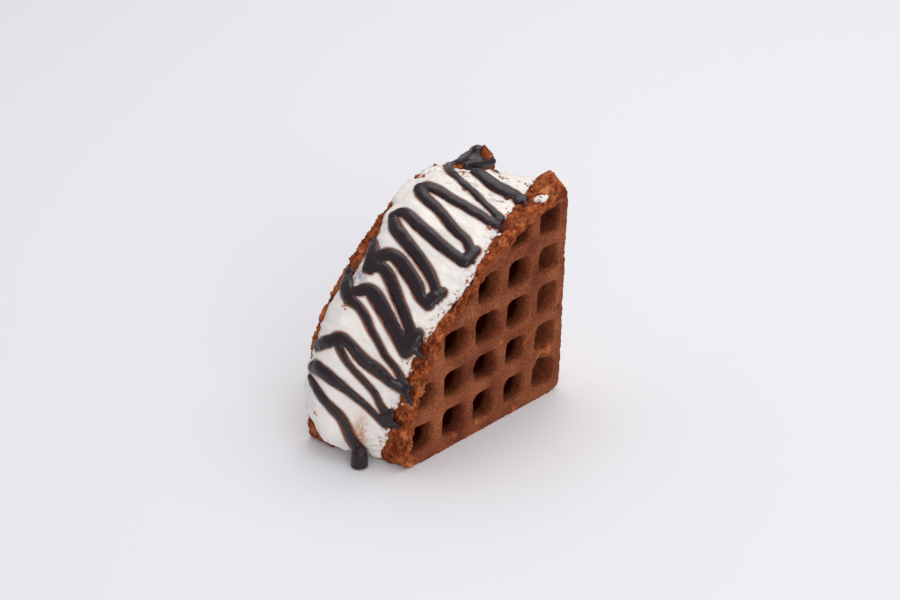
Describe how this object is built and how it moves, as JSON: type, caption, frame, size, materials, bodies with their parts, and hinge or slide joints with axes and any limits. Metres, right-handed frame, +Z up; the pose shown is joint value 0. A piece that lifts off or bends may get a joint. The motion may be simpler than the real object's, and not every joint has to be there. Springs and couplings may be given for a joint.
{
  "type": "waffle ice cream sandwich",
  "caption": "Quarter-round chocolate waffle sandwich standing on a straight edge, filled with ice cream that laps over the arc under a chocolate drizzle.",
  "frame": {"origin": "on the floor the piece stands on, at the middle of its bounding box", "axes": "+X along the floor edge towards the right-angled corner, +Y through the sandwich from the front waffle towards the back one, +Z up"},
  "size_m": [0.1025, 0.0537, 0.0953],
  "materials": {
    "chocolate_waffle": "matte, crumbly",
    "vanilla_cream": "soft satin"
  },
  "bodies": {
    "root": {"waffle_front": "chocolate_waffle", "waffle_back": "chocolate_waffle", "ice_cream": "vanilla_cream"}
  },
  "joints": []
}
